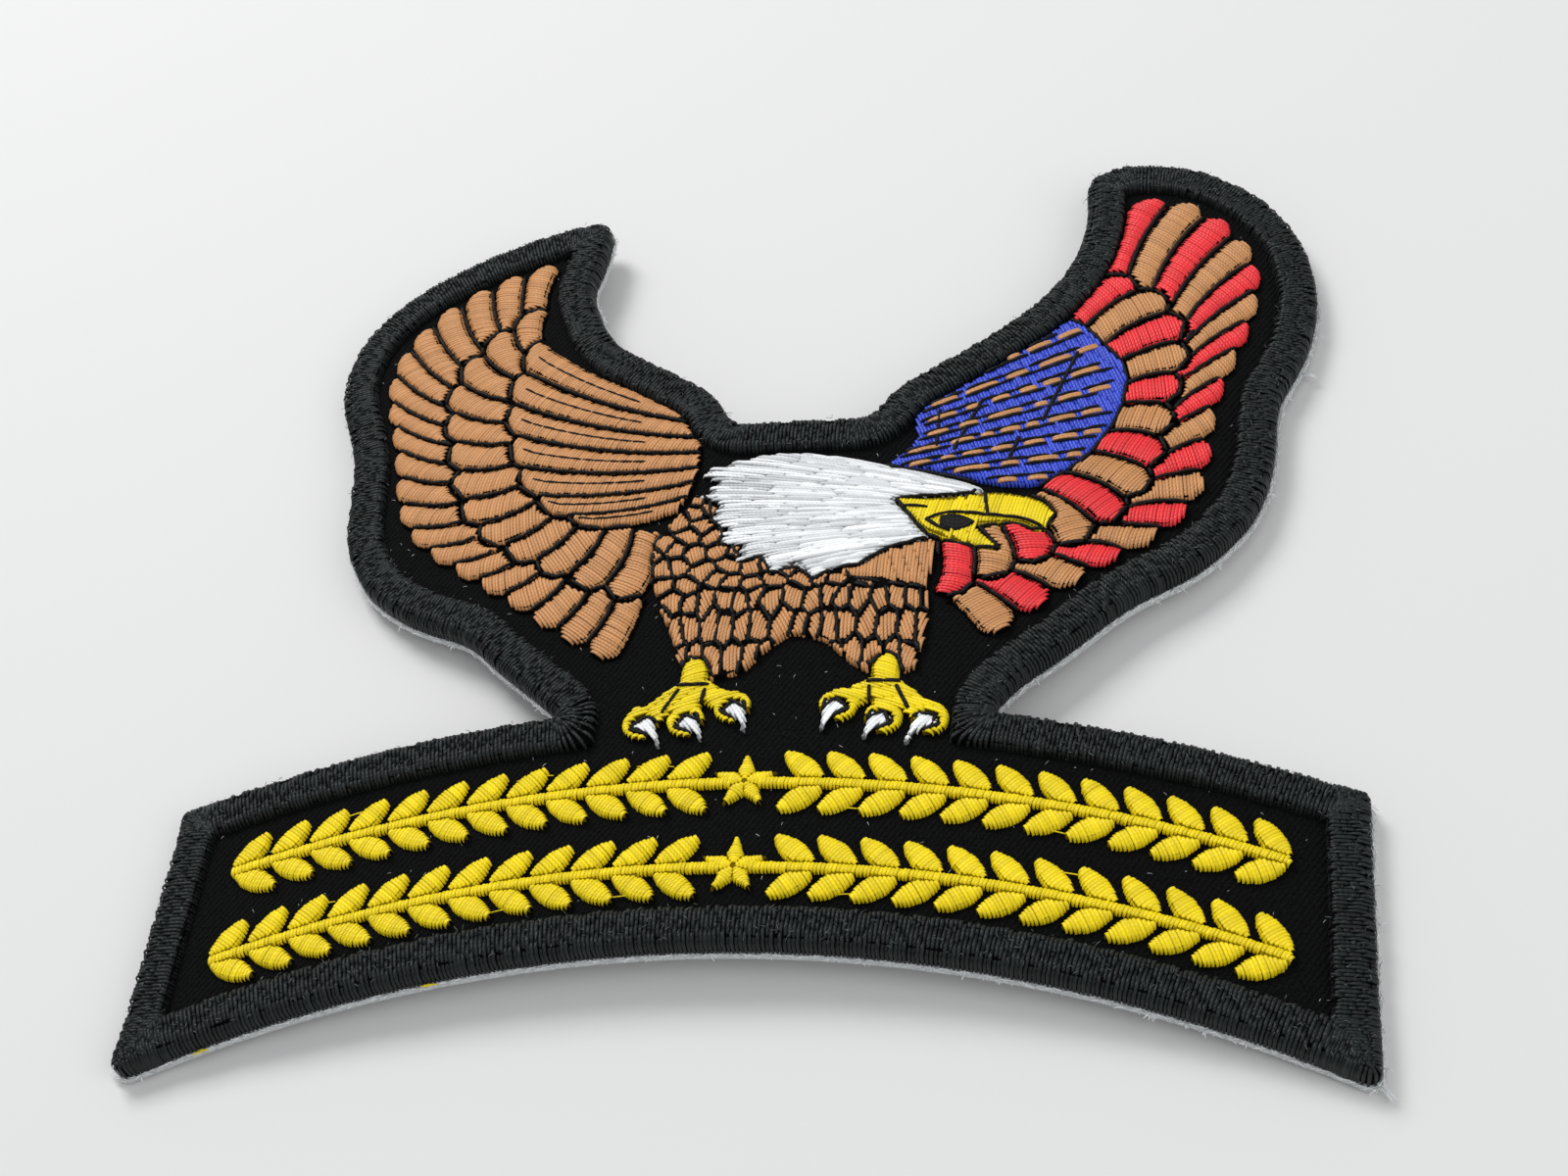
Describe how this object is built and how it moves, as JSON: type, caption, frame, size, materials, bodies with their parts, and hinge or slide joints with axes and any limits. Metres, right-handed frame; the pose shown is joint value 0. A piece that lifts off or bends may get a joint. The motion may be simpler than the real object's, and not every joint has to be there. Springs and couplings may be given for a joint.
{
  "type": "embroidered rocker patch",
  "caption": "Die-cut embroidered patch: an eagle with raised wings over an arched rocker banner, with a satin rim and a heat-seal back.",
  "frame": {"origin": "middle of the bounding box, on the surface that the patch lies on", "axes": "+Z out of the embroidered face, +X to the right and +Y towards the wing tips, as seen from the front"},
  "size_m": [0.114, 0.1116, 0.0059],
  "materials": {
    "heat_seal_film": "matt heat-seal film",
    "black_twill": "matt polyester twill",
    "charcoal_thread": "satin stitched polyester thread",
    "brown_thread": "satin stitched polyester thread",
    "red_thread": "satin stitched polyester thread",
    "blue_thread": "satin stitched polyester thread",
    "white_thread": "satin stitched polyester thread",
    "yellow_thread": "satin stitched polyester thread"
  },
  "bodies": {
    "root": {"backing_film": "heat_seal_film", "twill_ground": "black_twill", "satin_rim": "charcoal_thread", "lower_garland": "yellow_thread", "upper_garland": "yellow_thread", "left_foot": "yellow_thread", "right_foot": "yellow_thread", "beak": "yellow_thread", "head": "white_thread", "breast": "brown_thread", "blue_shoulder": "blue_thread", "left_scapulars": "brown_thread", "left_coverts": "brown_thread", "left_flight_feathers": "brown_thread", "right_coverts": "brown_thread", "right_flight_feathers": "brown_thread", "left_talon_1": "white_thread", "left_talon_2": "white_thread", "left_talon_3": "white_thread", "right_talon_1": "white_thread", "right_talon_2": "white_thread", "right_talon_3": "white_thread", "red_covert_1": "red_thread", "red_covert_2": "red_thread", "red_covert_3": "red_thread", "red_covert_4": "red_thread", "red_covert_5": "red_thread", "red_covert_6": "red_thread", "red_covert_7": "red_thread", "red_flight_feather_1": "red_thread", "red_flight_feather_2": "red_thread", "red_flight_feather_3": "red_thread", "red_flight_feather_4": "red_thread", "red_flight_feather_5": "red_thread", "red_flight_feather_6": "red_thread", "red_flight_feather_7": "red_thread", "red_flight_feather_8": "red_thread", "red_flight_feather_9": "red_thread"}
  },
  "joints": []
}
